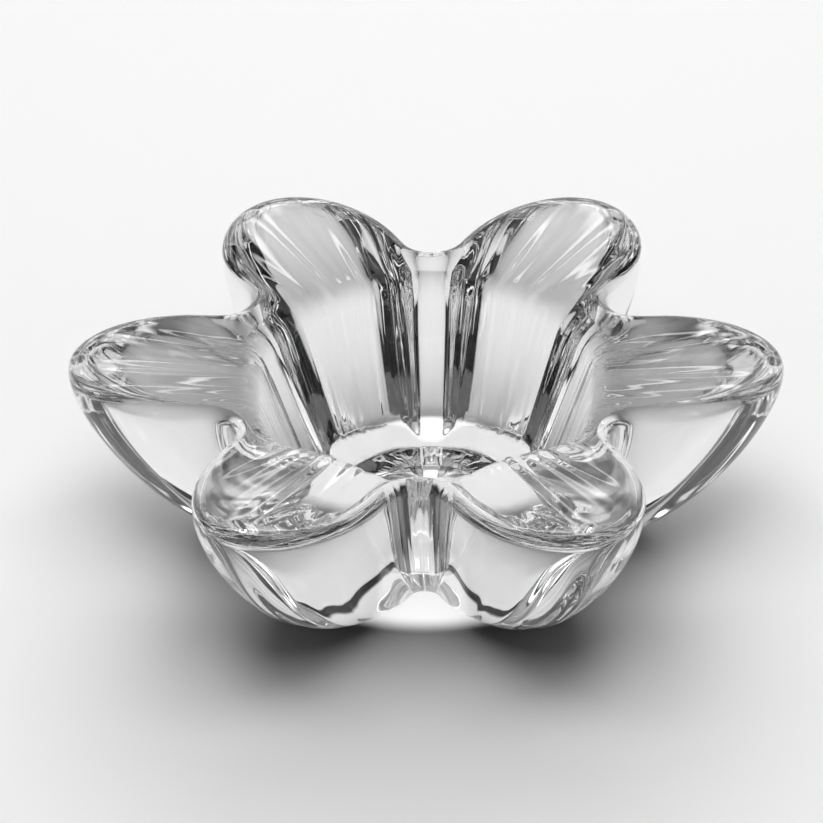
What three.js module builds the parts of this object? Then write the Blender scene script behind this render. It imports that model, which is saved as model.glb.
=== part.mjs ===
// Petal candle holder: one pressing of clear glass, with six petals round a candle well.
// Millimetres, +Z up. The flat foot lies on z = 0, the axis is Z and a petal tip points along +X.
import * as THREE from 'three';

const { degToRad, lerp } = THREE.MathUtils;

// Rim outline in plan
const PETALS = 6;
const TIP_RADIUS = 75; // axis to the tip of a petal
const PETAL_ROUND = 26.5; // length of the elliptic end of a petal
const PETAL_HALF_WIDTH = 19.5;
const CREASE_RADIUS = 45.4; // axis to the crease between two petals

// Rounded rim
const HEIGHT = 43;
const CREASE_DROP = 1; // the rim is this much lower at a crease
const RIM_WIDTH = 2.65;
const RIM_DEPTH = 2.65;

// Foot, with a domed recess under the candle well
const RECESS_RADIUS = 21.8;
const RECESS_DEPTH = 4.3;
const FOOT_EDGE = 1; // how far the rounding of the foot's edge reaches

// Candle well
const FLOOR_HEIGHT = 10.4;
const FLOOR_FILLET = 2.5; // how far the fillets reach from their corners
const KNEE_FILLET = 3.6;
const TOP_PULL = 0.08; // how long the petal's top keeps its direction at each end

// Sections through a petal's middle and through a crease: lengths in mm, angles in degrees from
// level, pulls as shares of the outer wall's chord
const PETAL = {
  foot: 37.8,
  footAngle: 12,
  footPull: 0.36,
  rimPull: 0.18,
  knee: 35.6,
  kneeHeight: 40,
  topSlope: 2,
  floor: 26,
};
const CREASE = {
  foot: 24.2,
  footAngle: 51,
  footPull: 0.35,
  rimPull: 0.31,
  knee: 37.6,
  kneeHeight: 37.4,
  topSlope: 23,
  floor: 26.8,
};

// Facets
const MERIDIANS = 120;
const RIM_STEPS = 4;
const OUTSIDE_STEPS = [5, 1, 2, 10]; // recess, foot, foot's edge, outer wall
const INSIDE_STEPS = [4, 3, 3, 3, 1]; // petal's top, knee, well wall, floor's fillet, floor

const FOLD = Math.PI / PETALS; // from a petal's middle to a crease

// Angle from the middle of the nearest petal
function foldAngle(angle) {
  const turn = THREE.MathUtils.euclideanModulo(angle + FOLD, 2 * FOLD);
  return Math.abs(turn - FOLD);
}

// Radius of the rim outline at an angle, set in by a distance. From a petal's middle to a crease it is
// an ellipse, a straight flank along the petal and a fillet round a centre outside the crease.
function outline(angle, inset) {
  const fold = foldAngle(angle);
  const cos = Math.cos(fold);
  const sin = Math.sin(fold);
  const filletRadius = (CREASE_RADIUS * Math.sin(FOLD) - PETAL_HALF_WIDTH) / (1 - Math.sin(FOLD));
  const filletCentre = CREASE_RADIUS + filletRadius;
  const halfWidth = PETAL_HALF_WIDTH - inset;
  if (fold >= Math.atan2(halfWidth, filletCentre * Math.cos(FOLD))) {
    const along = filletCentre * Math.cos(FOLD - fold);
    const aside = filletCentre * Math.sin(FOLD - fold);
    return along - Math.sqrt((filletRadius + inset) ** 2 - aside ** 2);
  }
  const centre = TIP_RADIUS - PETAL_ROUND;
  if (fold >= Math.atan2(halfWidth, centre)) return halfWidth / sin;
  const length = PETAL_ROUND - inset;
  const a = (cos / length) ** 2 + (sin / halfWidth) ** 2;
  const b = (centre * cos) / length ** 2;
  const c = (centre / length) ** 2 - 1;
  return (b + Math.sqrt(b * b - a * c)) / a;
}

// A value of the two sections, mixed for a meridian between them
const mix = (name, share) => lerp(CREASE[name], PETAL[name], share);

// A point some way from another, at an angle from level
function away(from, angle, distance) {
  return new THREE.Vector2(Math.cos(angle), Math.sin(angle)).multiplyScalar(distance).add(from);
}

// The points of each curve of a path, with the joints between curves kept once
function sample(path, steps) {
  const points = path.curves.flatMap((curve, i) => curve.getPoints(steps[i]).slice(1));
  return [path.curves[0].getPoint(0), ...points];
}

// Outer wall of one section, as the four points of a cubic curve that ends upright
function outerWall(section, rimRadius, rimStart) {
  const foot = new THREE.Vector2(section.foot, 0);
  const rim = new THREE.Vector2(rimRadius, rimStart);
  const chord = foot.distanceTo(rim);
  const angle = degToRad(section.footAngle);
  const start = away(foot, angle, FOOT_EDGE);
  const leave = away(foot, angle, section.footPull * chord);
  const arrive = away(rim, -Math.PI / 2, section.rimPull * chord);
  return [start, leave, arrive, rim];
}

// From the middle of the underside out to the widest line of the rim
function outside(share) {
  const petalWall = outerWall(PETAL, TIP_RADIUS, HEIGHT - RIM_DEPTH);
  const creaseWall = outerWall(CREASE, CREASE_RADIUS, HEIGHT - CREASE_DROP - RIM_DEPTH);
  const [start, leave, arrive, rim] = creaseWall.map((point, i) => point.lerp(petalWall[i], share));
  const foot = mix('foot', share);
  const path = new THREE.Path();
  path.moveTo(0, RECESS_DEPTH);
  path.quadraticCurveTo(RECESS_RADIUS / 2, RECESS_DEPTH, RECESS_RADIUS, 0);
  path.lineTo(foot - FOOT_EDGE, 0);
  path.quadraticCurveTo(foot, 0, start.x, start.y);
  path.bezierCurveTo(leave.x, leave.y, arrive.x, arrive.y, rim.x, rim.y);
  return sample(path, OUTSIDE_STEPS);
}

// From the inner edge of the rim down the petal's top and the well to the middle of the floor
function inside(rim, share) {
  const knee = new THREE.Vector2(mix('knee', share), mix('kneeHeight', share));
  const corner = new THREE.Vector2(mix('floor', share), FLOOR_HEIGHT);
  const slope = degToRad(mix('topSlope', share));
  const kneeStart = away(knee, slope, KNEE_FILLET);
  const pull = TOP_PULL * rim.distanceTo(kneeStart);
  const arrive = away(kneeStart, slope, pull);
  const fall = Math.atan2(corner.y - knee.y, corner.x - knee.x);
  const kneeEnd = away(knee, fall, KNEE_FILLET);
  const filletStart = away(corner, fall, -FLOOR_FILLET);
  const path = new THREE.Path();
  path.moveTo(rim.x, rim.y);
  path.bezierCurveTo(rim.x - pull, rim.y, arrive.x, arrive.y, kneeStart.x, kneeStart.y);
  path.quadraticCurveTo(knee.x, knee.y, kneeEnd.x, kneeEnd.y);
  path.lineTo(filletStart.x, filletStart.y);
  path.quadraticCurveTo(corner.x, corner.y, corner.x - FLOOR_FILLET, FLOOR_HEIGHT);
  path.lineTo(0, FLOOR_HEIGHT);
  return sample(path, INSIDE_STEPS);
}

// The whole section at an angle, as points of radius and height
function meridian(angle) {
  const rimShare = (outline(angle, 0) - CREASE_RADIUS) / (TIP_RADIUS - CREASE_RADIUS);
  const wellShare = (1 + Math.cos(PETALS * angle)) / 2;
  const rimStart = HEIGHT - CREASE_DROP * (1 - rimShare) - RIM_DEPTH;
  const rim = [];
  for (let step = 1; step <= RIM_STEPS; step += 1) {
    const turn = (step / RIM_STEPS) * (Math.PI / 2);
    const radius = outline(angle, RIM_WIDTH * (1 - Math.cos(turn)));
    rim.push(new THREE.Vector2(radius, rimStart + RIM_DEPTH * Math.sin(turn)));
  }
  return [...outside(rimShare), ...rim, ...inside(rim[RIM_STEPS - 1], wellShare).slice(1)];
}

// One closed skin through all meridians, with its first and last points on the axis
function glassGeometry() {
  const positions = [0, 0, RECESS_DEPTH, 0, 0, FLOOR_HEIGHT];
  const [underside, floor] = [0, 1];
  let rings = 0;
  for (let i = 0; i < MERIDIANS; i += 1) {
    const angle = (i / MERIDIANS) * 2 * Math.PI;
    const points = meridian(angle).slice(1, -1);
    rings = points.length;
    points.forEach(({ x, y }) => positions.push(x * Math.cos(angle), x * Math.sin(angle), y));
  }
  const vertex = (i, j) => 2 + (i % MERIDIANS) * rings + j;
  const faces = [];
  for (let i = 0; i < MERIDIANS; i += 1) {
    faces.push(underside, vertex(i + 1, 0), vertex(i, 0));
    for (let j = 0; j < rings - 1; j += 1) {
      faces.push(vertex(i, j), vertex(i + 1, j), vertex(i + 1, j + 1));
      faces.push(vertex(i, j), vertex(i + 1, j + 1), vertex(i, j + 1));
    }
    faces.push(vertex(i, rings - 1), vertex(i + 1, rings - 1), floor);
  }
  const geometry = new THREE.BufferGeometry();
  geometry.setAttribute('position', new THREE.Float32BufferAttribute(positions, 3));
  geometry.setIndex(faces);
  geometry.computeVertexNormals();
  return geometry;
}

const clearGlass = new THREE.MeshStandardMaterial({
  color: 0xf4f7f7,
  roughness: 0.04,
  metalness: 0,
  transparent: true,
  opacity: 0.35,
});

const holder = new THREE.Group();
const glass = new THREE.Mesh(glassGeometry(), clearGlass);
glass.name = 'glass_holder';
holder.add(glass);

export default holder;
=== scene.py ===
"""Petal candle holder of clear pressed glass, on a plain pale studio floor. Metres, +Z up."""

import math

import bpy
import numpy as np
from mathutils import Matrix, Vector


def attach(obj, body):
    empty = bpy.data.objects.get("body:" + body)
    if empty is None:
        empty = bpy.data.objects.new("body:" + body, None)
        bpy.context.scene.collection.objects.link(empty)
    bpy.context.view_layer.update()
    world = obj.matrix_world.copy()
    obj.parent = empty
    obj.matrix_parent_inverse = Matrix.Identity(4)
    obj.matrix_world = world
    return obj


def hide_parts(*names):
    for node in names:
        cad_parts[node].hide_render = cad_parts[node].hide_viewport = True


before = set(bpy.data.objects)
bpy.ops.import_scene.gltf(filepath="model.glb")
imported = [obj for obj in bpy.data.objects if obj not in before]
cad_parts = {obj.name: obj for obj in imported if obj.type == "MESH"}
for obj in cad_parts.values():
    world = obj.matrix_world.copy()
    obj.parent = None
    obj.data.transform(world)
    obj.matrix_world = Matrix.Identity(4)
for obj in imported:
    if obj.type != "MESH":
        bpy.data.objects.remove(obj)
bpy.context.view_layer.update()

MM = 0.001
TINY = 1e-9  # keeps divisions away from zero

# Rim outline in plan, in mm as in the CAD source
PETALS = 6
TIP_RADIUS = 75.0
PETAL_ROUND = 26.5
PETAL_HALF_WIDTH = 19.5
CREASE_RADIUS = 45.4

# Rounded rim
HEIGHT = 43.0
CREASE_DROP = 1.0
RIM_WIDTH = 2.65
RIM_DEPTH = 2.65

# Foot, with a domed recess under the candle well
RECESS_RADIUS = 21.8
RECESS_DEPTH = 4.3
FOOT_EDGE = 1.0

# Candle well
FLOOR_HEIGHT = 10.4
FLOOR_FILLET = 2.5
KNEE_FILLET = 3.6
TOP_PULL = 0.08

# Sections through a petal's middle and through a crease: mm, degrees from level, shares of a chord
PETAL = dict(
    foot=37.8, foot_angle=12.0, foot_pull=0.36, rim_pull=0.18,
    knee=35.6, knee_height=40.0, top_slope=2.0, floor=26.0,
)
CREASE = dict(
    foot=24.2, foot_angle=51.0, foot_pull=0.35, rim_pull=0.31,
    knee=37.6, knee_height=37.4, top_slope=23.0, floor=26.8,
)

# Flow lines of the pressing: how many go round, height in mm, turn in radians
FLOW_LINES = [
    (41, 0.130, 0.3),
    (66, 0.090, 2.1),
    (97, 0.050, 4.4),
]
CREASE_FLOW = 0.35  # share of their height that is left at a crease

# Mesh: sections round the axis, and steps along each stretch of a section
MERIDIANS = 640
RECESS_STEPS = 16
FOOT_STEPS = 6
FOOT_EDGE_STEPS = 5
WALL_STEPS = 32
RIM_STEPS = 14
TOP_STEPS = 22
KNEE_STEPS = 12
WELL_STEPS = 14
FILLET_STEPS = 10
FLOOR_STEPS = 10

# Camera, as fitted to the photograph's outline: degrees, metres, pixels and the sensor in mm
VIEW_ELEVATION = 34.08
VIEW_TURN = 2.27
VIEW_ROLL = 1.13
VIEW_DISTANCE = 1.02
VIEW_POINT = Vector((0.0, 0.0, 0.020))
VIEW_POINT_PIXEL = (426.8, 448.7)
PIXELS_PER_METRE = 4720.0
PICTURE = 823.0
SENSOR = 36.0
CLIP_START = 0.01

# Studio: metres, and degrees of azimuth from behind the object towards the right and of elevation
FLOOR_COLOUR = 0.9
FLOOR_REACH = 6.0
FLOOR_GAP = 0.1  # mm
LAMP_DISTANCE = 1.3
LAMPS = {  # azimuth, elevation, width in metres, share of the floor's light
    "back_lamp": (0, 50, 0.9, 0.07),
    "low_back_lamp": (0, 24, 0.6, 0.13),
    "left_lamp": (-95, 76, 0.6, 0.165),
    "right_lamp": (95, 76, 0.6, 0.165),
    "front_lamp": (178, 68, 0.7, 0.22),
}
FOOT_LIGHT_SHARE = 1.0
FOOT_LIGHT_RADIUS = 39.0  # mm
FOOT_LIGHT_BLEND = 0.3
PANELS = [  # azimuth, half width, lowest and highest elevation, level
    (0, 46, 4, 33, 1.0),
    (0, 40, 26, 27.2, 5.0),
    (0, 40, 37, 39.5, 6.0),
    (0, 75, 42, 62, 0.6),
    (180, 180, 65, 91, 0.12),
]
SIDE_STRIPS = (75, 105, 130, 155)  # azimuths on both sides
SIDE_STRIP_HALF_WIDTH = 2
SIDE_STRIP_ELEVATIONS = (8, 45)
SIDE_STRIP_LEVEL = 1.2
PANEL_EDGE = 1.2
STUDIO_LEVEL = 0.01
STUDIO_MAP = 512  # how finely the panels are sampled as light
BOUNCES = 24

# Glass
REFRACTION = 1.52
ABSORPTION = 2.3
TINT = (0.985, 0.99, 0.988, 1)
WHITE = (1, 1, 1, 1)
BLACK = (0, 0, 0, 1)
SMEAR_SCALE = 70.0
SMEAR_DETAIL = 4.0
SMEAR_DISTORTION = 1.5
SMEAR_START = 0.5
SMEAR_FULL = 0.75
SMEAR_ROUGHNESS = 0.012
GROUND_TOP = 0.4  # mm above the foot
GROUND_FULL = 0.05
GROUND_ROUGHNESS = 0.15
WAVE_SCALE = 110.0
WAVE_DETAIL = 1.0
WAVE_STRENGTH = 0.02
WAVE_HEIGHT = 0.4  # mm

FOLD = math.pi / PETALS


def outline(angle, inset):
    """Radius of the rim at each angle, set in by a distance: ellipse, flank and crease fillet."""
    fold = np.abs((angle + FOLD) % (2 * FOLD) - FOLD)
    cos, sin = np.cos(fold), np.sin(fold)
    fillet_radius = (CREASE_RADIUS * math.sin(FOLD) - PETAL_HALF_WIDTH) / (1 - math.sin(FOLD))
    fillet_centre = CREASE_RADIUS + fillet_radius
    half_width = PETAL_HALF_WIDTH - inset
    along = fillet_centre * np.cos(FOLD - fold)
    aside = fillet_centre * np.sin(FOLD - fold)
    on_fillet = along - np.sqrt(np.maximum((fillet_radius + inset) ** 2 - aside**2, 0.0))
    on_flank = half_width / np.maximum(sin, TINY)
    centre = TIP_RADIUS - PETAL_ROUND
    length = PETAL_ROUND - inset
    a = (cos / length) ** 2 + (sin / half_width) ** 2
    b = centre * cos / length**2
    c = (centre / length) ** 2 - 1
    on_ellipse = (b + np.sqrt(np.maximum(b * b - a * c, 0.0))) / a
    flank_end = math.atan2(half_width, fillet_centre * math.cos(FOLD))
    flank_start = math.atan2(half_width, centre)
    return np.where(fold >= flank_end, on_fillet, np.where(fold >= flank_start, on_flank, on_ellipse))


def rz(radius, height):
    """Points of radius and height, one for each meridian."""
    return np.stack(np.broadcast_arrays(radius, height), -1).astype(float)


def away(start, angle, distance):
    """Points some way from others, at an angle from level."""
    return start + rz(np.cos(angle) * distance, np.sin(angle) * distance)


def line(start, end, steps):
    """Points along a straight stretch, without its start."""
    t = np.linspace(0, 1, steps + 1)[1:, None, None]
    return start * (1 - t) + end * t


def bend(start, corner, end, steps):
    """Points round a fillet, without its start."""
    t = np.linspace(0, 1, steps + 1)[1:, None, None]
    return start * (1 - t) ** 2 + corner * 2 * t * (1 - t) + end * t**2


def curve(start, leave, arrive, end, steps):
    """Points along a cubic curve, without its start."""
    t = np.linspace(0, 1, steps + 1)[1:, None, None]
    s = 1 - t
    return start * s**3 + leave * 3 * s * s * t + arrive * 3 * s * t * t + end * t**3


def outer_wall(section, rim_radius, rim_start):
    """The four points of one section's outer wall, a cubic curve that ends upright."""
    foot = rz(section["foot"], 0.0)
    rim = rz(rim_radius, rim_start)
    chord = np.linalg.norm(rim - foot)
    angle = math.radians(section["foot_angle"])
    start = away(foot, angle, FOOT_EDGE)
    leave = away(foot, angle, section["foot_pull"] * chord)
    arrive = away(rim, -math.pi / 2, section["rim_pull"] * chord)
    return np.array([start, leave, arrive, rim])


def flow(angle):
    """Height of the flow lines, which fade from the petals' middles towards the creases."""
    waves = sum(height * np.sin(count * angle + turn) for count, height, turn in FLOW_LINES)
    share = (1 + np.cos(PETALS * angle)) / 2
    return waves * (CREASE_FLOW + (1 - CREASE_FLOW) * share)


def meridians(angle):
    """All sections of the glass, from the middle of the underside round to the middle of the floor."""
    rim_share = (outline(angle, 0.0) - CREASE_RADIUS) / (TIP_RADIUS - CREASE_RADIUS)
    well_share = (1 + np.cos(PETALS * angle)) / 2

    def mix(name, share):
        return CREASE[name] * (1 - share) + PETAL[name] * share

    zero = np.zeros_like(angle)
    under = rz(zero, RECESS_DEPTH)
    recess_rim = rz(zero + RECESS_RADIUS, 0.0)
    foot = rz(mix("foot", rim_share), 0.0)
    foot_edge = foot - rz(FOOT_EDGE, 0.0)
    petal_wall = outer_wall(PETAL, TIP_RADIUS, HEIGHT - RIM_DEPTH)
    crease_wall = outer_wall(CREASE, CREASE_RADIUS, HEIGHT - CREASE_DROP - RIM_DEPTH)
    share = rim_share[:, None]
    start, leave, arrive, rim = [c * (1 - share) + p * share for c, p in zip(crease_wall, petal_wall)]
    rim_start = HEIGHT - CREASE_DROP * (1 - rim_share) - RIM_DEPTH
    rounding = np.array([
        rz(outline(angle, RIM_WIDTH * (1 - math.cos(turn))), rim_start + RIM_DEPTH * math.sin(turn))
        for turn in np.linspace(0, math.pi / 2, RIM_STEPS + 1)[1:]
    ])
    inner_rim = rounding[-1]
    knee = rz(mix("knee", well_share), mix("knee_height", well_share))
    corner = rz(mix("floor", well_share), FLOOR_HEIGHT)
    slope = np.radians(mix("top_slope", well_share))
    knee_start = away(knee, slope, KNEE_FILLET)
    pull = TOP_PULL * np.linalg.norm(knee_start - inner_rim, axis=-1)
    fall = np.arctan2(corner[:, 1] - knee[:, 1], corner[:, 0] - knee[:, 0])
    knee_end = away(knee, fall, KNEE_FILLET)
    fillet_start = away(corner, fall, -FLOOR_FILLET)
    fillet_end = corner - rz(FLOOR_FILLET, 0.0)
    top_leave, top_arrive = inner_rim - rz(pull, 0.0), away(knee_start, slope, pull)
    rows = [  # points, with the share of the flow lines that each row starts and ends with
        (under[None], 0, 0),
        (bend(under, rz(zero + RECESS_RADIUS / 2, RECESS_DEPTH), recess_rim, RECESS_STEPS), 0, 0),
        (line(recess_rim, foot_edge, FOOT_STEPS), 0, 0),
        (bend(foot_edge, foot, start, FOOT_EDGE_STEPS), 0, 0),
        (curve(start, leave, arrive, rim, WALL_STEPS), 1, 0),
        (rounding, 0, 0),
        (curve(inner_rim, top_leave, top_arrive, knee_start, TOP_STEPS), 0, 1),
        (bend(knee_start, knee, knee_end, KNEE_STEPS), 1, 1),
        (line(knee_end, fillet_start, WELL_STEPS), 1, 1),
        (bend(fillet_start, corner, fillet_end, FILLET_STEPS), 1, 0),
        (line(fillet_end, rz(zero, FLOOR_HEIGHT), FLOOR_STEPS), 0, 0),
    ]
    sections = np.concatenate([points for points, _, _ in rows])
    strength = np.concatenate([np.linspace(first, last, len(points)) for points, first, last in rows])
    tangent = np.gradient(sections, axis=0)
    outward = np.stack([tangent[..., 1], -tangent[..., 0]], -1)
    outward /= np.maximum(np.linalg.norm(outward, axis=-1, keepdims=True), TINY)
    return sections + outward * (flow(angle) * strength[:, None])[..., None]


def glass_mesh(name):
    """One closed skin through all meridians, with a point on the axis at each end."""
    angle = np.linspace(0, 2 * math.pi, MERIDIANS, endpoint=False)
    sections = meridians(angle)[1:-1] * MM
    rings = len(sections)
    x = sections[..., 0] * np.cos(angle)
    y = sections[..., 0] * np.sin(angle)
    points = np.stack([x, y, sections[..., 1]], -1).reshape(-1, 3).tolist()
    underside, floor = len(points), len(points) + 1
    points += [(0, 0, RECESS_DEPTH * MM), (0, 0, FLOOR_HEIGHT * MM)]
    faces = []
    for i in range(MERIDIANS):
        k = (i + 1) % MERIDIANS
        faces.append((underside, k, i))
        for j in range(rings - 1):
            low, high = j * MERIDIANS, (j + 1) * MERIDIANS
            faces.append((low + i, low + k, high + k, high + i))
        last = (rings - 1) * MERIDIANS
        faces.append((last + i, last + k, floor))
    mesh = bpy.data.meshes.new(name)
    mesh.from_pydata(points, [], faces)
    mesh.shade_smooth()
    return mesh


def math_node(nodes, links, operation, *values):
    """A Math node's output, with each input a number or another node's output."""
    node = nodes.new("ShaderNodeMath")
    node.operation = operation
    for socket, value in zip(node.inputs, values):
        if isinstance(value, bpy.types.NodeSocket):
            links.new(value, socket)
        else:
            socket.default_value = value
    return node.outputs[0]


def step_node(nodes, links, value, start, end):
    """A smooth step from 0 at the start to 1 at the end."""
    node = nodes.new("ShaderNodeMapRange")
    node.interpolation_type = "SMOOTHSTEP"
    links.new(value, node.inputs["Value"])
    node.inputs["From Min"].default_value = start
    node.inputs["From Max"].default_value = end
    return node.outputs[0]


def clear_glass():
    """Fire-polished glass: a faint waviness, thin smears and a ground foot."""
    material = bpy.data.materials.new("clear_glass")
    material.use_nodes = True
    nodes, links = material.node_tree.nodes, material.node_tree.links
    shader = nodes["Principled BSDF"]
    shader.inputs["IOR"].default_value = REFRACTION
    shader.inputs["Transmission Weight"].default_value = 1.0
    place = nodes.new("ShaderNodeTexCoord").outputs["Object"]

    smears = nodes.new("ShaderNodeTexNoise")
    smears.inputs["Scale"].default_value = SMEAR_SCALE
    smears.inputs["Detail"].default_value = SMEAR_DETAIL
    smears.inputs["Distortion"].default_value = SMEAR_DISTORTION
    links.new(place, smears.inputs["Vector"])
    split = nodes.new("ShaderNodeSeparateXYZ")
    links.new(place, split.inputs[0])
    ground = step_node(nodes, links, split.outputs["Z"], GROUND_TOP * MM, GROUND_FULL * MM)
    smear = step_node(nodes, links, smears.outputs["Fac"], SMEAR_START, SMEAR_FULL)
    dull = math_node(nodes, links, "MULTIPLY", smear, SMEAR_ROUGHNESS)
    rough = math_node(nodes, links, "MULTIPLY_ADD", ground, GROUND_ROUGHNESS, dull)
    links.new(rough, shader.inputs["Roughness"])

    tint = nodes.new("ShaderNodeMix")
    tint.data_type = "RGBA"
    tint.inputs["A"].default_value = TINT
    tint.inputs["B"].default_value = WHITE
    links.new(smears.outputs["Fac"], tint.inputs["Factor"])
    links.new(tint.outputs["Result"], shader.inputs["Base Color"])

    waves = nodes.new("ShaderNodeTexNoise")
    waves.inputs["Scale"].default_value = WAVE_SCALE
    waves.inputs["Detail"].default_value = WAVE_DETAIL
    links.new(place, waves.inputs["Vector"])
    bump = nodes.new("ShaderNodeBump")
    bump.inputs["Strength"].default_value = WAVE_STRENGTH
    bump.inputs["Distance"].default_value = WAVE_HEIGHT * MM
    links.new(waves.outputs["Fac"], bump.inputs["Height"])
    links.new(bump.outputs["Normal"], shader.inputs["Normal"])

    absorption = nodes.new("ShaderNodeVolumeAbsorption")
    absorption.inputs["Color"].default_value = BLACK
    absorption.inputs["Density"].default_value = ABSORPTION
    links.new(absorption.outputs["Volume"], nodes["Material Output"].inputs["Volume"])
    return material


def make_camera():
    """The camera of the photograph: a long lens, turned and rolled a little."""
    elevation, turn = math.radians(VIEW_ELEVATION), math.radians(VIEW_TURN)
    level = math.cos(elevation)
    out = Vector((math.sin(turn) * level, -math.cos(turn) * level, math.sin(elevation)))
    place = VIEW_POINT + out * VIEW_DISTANCE
    focal = PIXELS_PER_METRE * VIEW_DISTANCE
    right = Vector((0, 0, 1)).cross(out).normalized()
    up = out.cross(right)
    off_x = (VIEW_POINT_PIXEL[0] - PICTURE / 2) / focal
    off_y = (PICTURE / 2 - VIEW_POINT_PIXEL[1]) / focal
    roll = math.radians(VIEW_ROLL)
    rolled_right = right * math.cos(roll) - up * math.sin(roll)
    rolled_up = right * math.sin(roll) + up * math.cos(roll)
    aim = (-out - rolled_right * off_x - rolled_up * off_y).normalized()
    back = -aim
    side = rolled_up.cross(back).normalized()
    top = back.cross(side)
    data = bpy.data.cameras.new("camera")
    data.sensor_width = SENSOR
    data.lens = SENSOR * focal / PICTURE
    data.clip_start = CLIP_START
    camera = bpy.data.objects.new("camera", data)
    camera.matrix_world = Matrix.Translation(place) @ Matrix((side, top, back)).transposed().to_4x4()
    bpy.context.scene.collection.objects.link(camera)
    bpy.context.scene.camera = camera


def make_floor():
    """A plain pale matte floor, just under the foot."""
    corners = [(-1, -1), (1, -1), (1, 1), (-1, 1)]
    mesh = bpy.data.meshes.new("floor")
    mesh.from_pydata([(x * FLOOR_REACH, y * FLOOR_REACH, 0) for x, y in corners], [], [range(4)])
    floor = bpy.data.objects.new("floor", mesh)
    floor.location.z = -FLOOR_GAP * MM
    material = bpy.data.materials.new("floor")
    material.use_nodes = True
    shader = material.node_tree.nodes["Principled BSDF"]
    shader.inputs["Base Color"].default_value = (FLOOR_COLOUR, FLOOR_COLOUR, FLOOR_COLOUR, 1)
    shader.inputs["Roughness"].default_value = 1.0
    shader.inputs["Specular IOR Level"].default_value = 0.0
    mesh.materials.append(material)
    bpy.context.scene.collection.objects.link(floor)


def studio_panels():
    """All bright panels of the studio: azimuth, half width, lowest and highest elevation, level."""
    side_strips = [
        (side * azimuth, SIDE_STRIP_HALF_WIDTH, *SIDE_STRIP_ELEVATIONS, SIDE_STRIP_LEVEL)
        for azimuth in SIDE_STRIPS
        for side in (-1, 1)
    ]
    return PANELS + side_strips


def make_world():
    """A dim studio with bright panels round the object."""
    world = bpy.data.worlds.new("studio")
    bpy.context.scene.world = world
    world.use_nodes = True
    world.cycles.sampling_method = "MANUAL"
    world.cycles.sample_map_resolution = STUDIO_MAP
    nodes, links = world.node_tree.nodes, world.node_tree.links
    split = nodes.new("ShaderNodeSeparateXYZ")
    links.new(nodes.new("ShaderNodeTexCoord").outputs["Generated"], split.inputs[0])
    azimuth = math_node(nodes, links, "ARCTAN2", split.outputs["X"], split.outputs["Y"])
    elevation = math_node(nodes, links, "ARCSINE", split.outputs["Z"])
    edge = math.radians(PANEL_EDGE)
    total = STUDIO_LEVEL
    for centre, half, low, high, level in studio_panels():
        half, low, high = math.radians(half), math.radians(low), math.radians(high)
        turn = math_node(nodes, links, "SUBTRACT", azimuth, math.radians(centre))
        turn = math_node(nodes, links, "WRAP", turn, math.pi, -math.pi)
        aside = math_node(nodes, links, "ABSOLUTE", turn)
        across = step_node(nodes, links, aside, half + edge, half - edge)
        above = step_node(nodes, links, elevation, low - edge, low + edge)
        below = step_node(nodes, links, elevation, high + edge, high - edge)
        upright = math_node(nodes, links, "MULTIPLY", above, below)
        panel = math_node(nodes, links, "MULTIPLY", across, upright)
        total = math_node(nodes, links, "MULTIPLY_ADD", panel, level, total)
    links.new(total, nodes["Background"].inputs["Strength"])
    nodes["Background"].inputs["Color"].default_value = WHITE


def add_lamp(lamp):
    """Puts a lamp in the scene, hidden from the glass, which shows the panels instead."""
    lamp.visible_glossy = False
    lamp.visible_transmission = False
    bpy.context.scene.collection.objects.link(lamp)


def make_lamps():
    """Soft lamps that light the floor, each by its share."""
    for name, (azimuth, elevation, width, share) in LAMPS.items():
        turn, rise = math.radians(azimuth), math.radians(elevation)
        level = math.cos(rise)
        towards = Vector((math.sin(turn) * level, math.cos(turn) * level, math.sin(rise)))
        data = bpy.data.lights.new(name, "AREA")
        data.shape = "DISK"
        data.size = width
        data.energy = share * (math.pi * LAMP_DISTANCE) ** 2 / math.sin(rise)
        lamp = bpy.data.objects.new(name, data)
        lamp.location = towards * LAMP_DISTANCE
        lamp.rotation_euler = towards.to_track_quat("Z", "Y").to_euler()
        add_lamp(lamp)


def make_foot_light(glass):
    """The light that the glass passes down to the floor, as a soft round spot under its foot."""
    data = bpy.data.lights.new("foot_light", "SPOT")
    data.spot_size = 2 * math.atan2(FOOT_LIGHT_RADIUS * MM, LAMP_DISTANCE)
    data.spot_blend = FOOT_LIGHT_BLEND
    data.shadow_soft_size = 0.0
    data.energy = FOOT_LIGHT_SHARE * (2 * math.pi * LAMP_DISTANCE) ** 2
    lamp = bpy.data.objects.new("foot_light", data)
    lamp.location.z = LAMP_DISTANCE
    add_lamp(lamp)
    let_through = bpy.data.collections.new("let_through")
    let_through.objects.link(glass)
    lamp.light_linking.blocker_collection = let_through
    for entry in let_through.collection_objects:
        entry.light_linking.link_state = "EXCLUDE"


glass = bpy.data.objects.new("glass_body", glass_mesh("glass_body"))
bpy.context.scene.collection.objects.link(glass)
glass.data.materials.append(clear_glass())
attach(glass, "root")
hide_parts("glass_holder")

make_floor()
make_world()
make_lamps()
make_foot_light(glass)
make_camera()
scene = bpy.context.scene
scene.view_settings.view_transform = "Standard"
scene.cycles.max_bounces = BOUNCES
scene.cycles.transmission_bounces = BOUNCES
scene.cycles.glossy_bounces = BOUNCES
scene.cycles.caustics_refractive = False
scene.cycles.caustics_reflective = False
